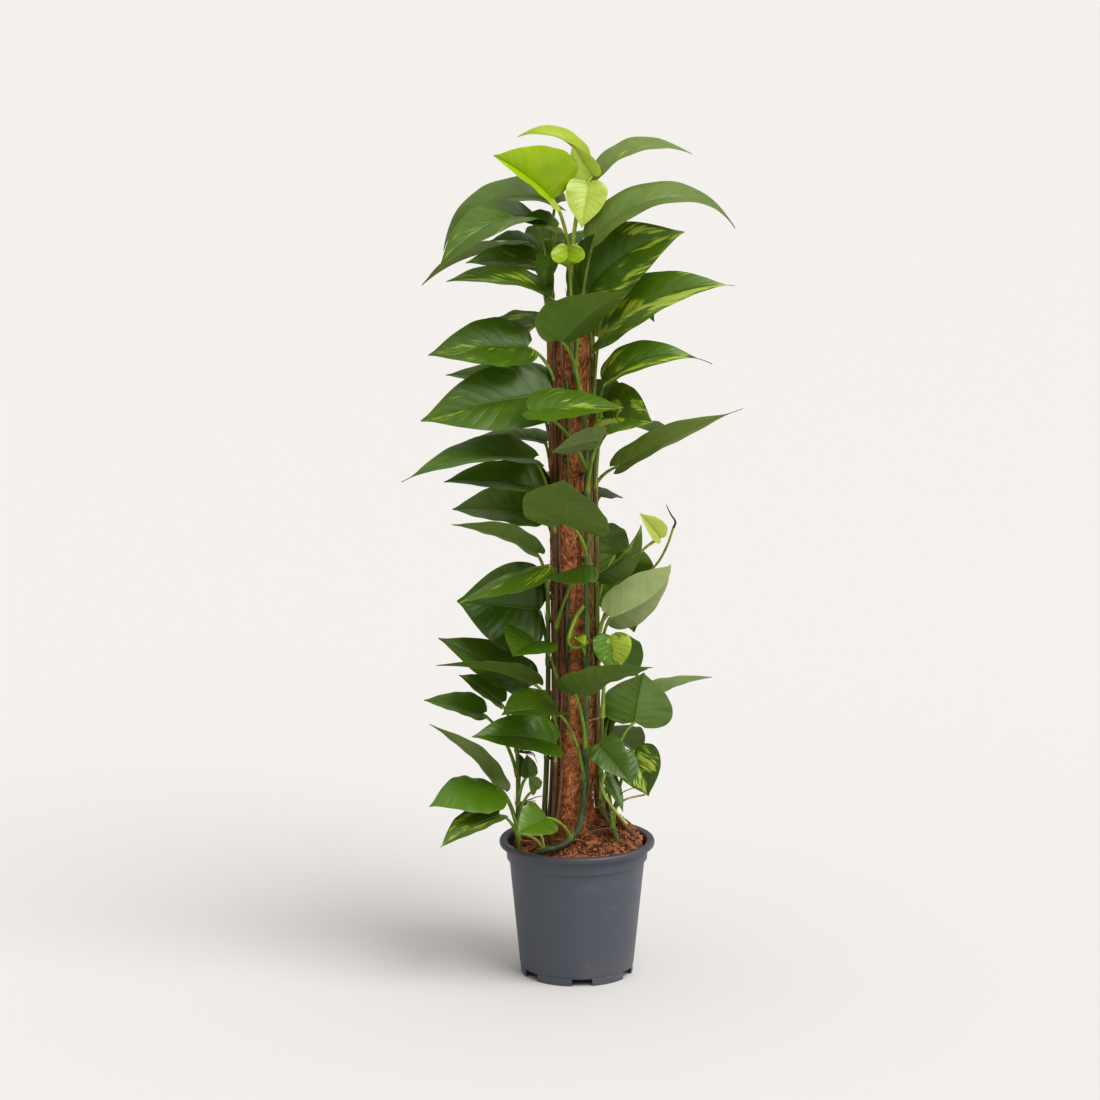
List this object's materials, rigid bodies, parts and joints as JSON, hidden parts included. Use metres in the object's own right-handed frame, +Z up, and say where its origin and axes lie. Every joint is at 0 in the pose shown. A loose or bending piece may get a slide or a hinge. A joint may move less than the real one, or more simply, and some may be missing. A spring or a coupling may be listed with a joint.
{
  "type": "potted golden pothos",
  "caption": "Golden pothos trained up a coir pole: stems with heart-shaped, marbled, drawn-out leaves on curved stalks, rooted in heaped soil in a round nursery pot with a notched foot.",
  "frame": {"origin": "middle of the pot's foot, on the surface the pot stands on", "axes": "+Z up along the pole, front of the plant towards -Y, +X to its right as seen from the front"},
  "size_m": [0.3845, 0.2681, 1.0338],
  "materials": {
    "pot_plastic": "matt, slate grey, faintly scuffed",
    "potting_soil": "rough, crumbly, reddish brown",
    "coir_fibre": "rough matted fibre, orange brown",
    "living_leaf": "satin green with lime and yellow streaks"
  },
  "bodies": {
    "root": {"pot": "pot_plastic", "soil": "potting_soil", "coir_pole": "coir_fibre", "vine_front": "living_leaf", "vine_front_left": "living_leaf", "vine_left": "living_leaf", "vine_right": "living_leaf", "vine_low_right": "living_leaf", "vine_low_left": "living_leaf", "vine_back_left": "living_leaf", "vine_back_right": "living_leaf", "vine_back": "living_leaf"}
  },
  "joints": []
}
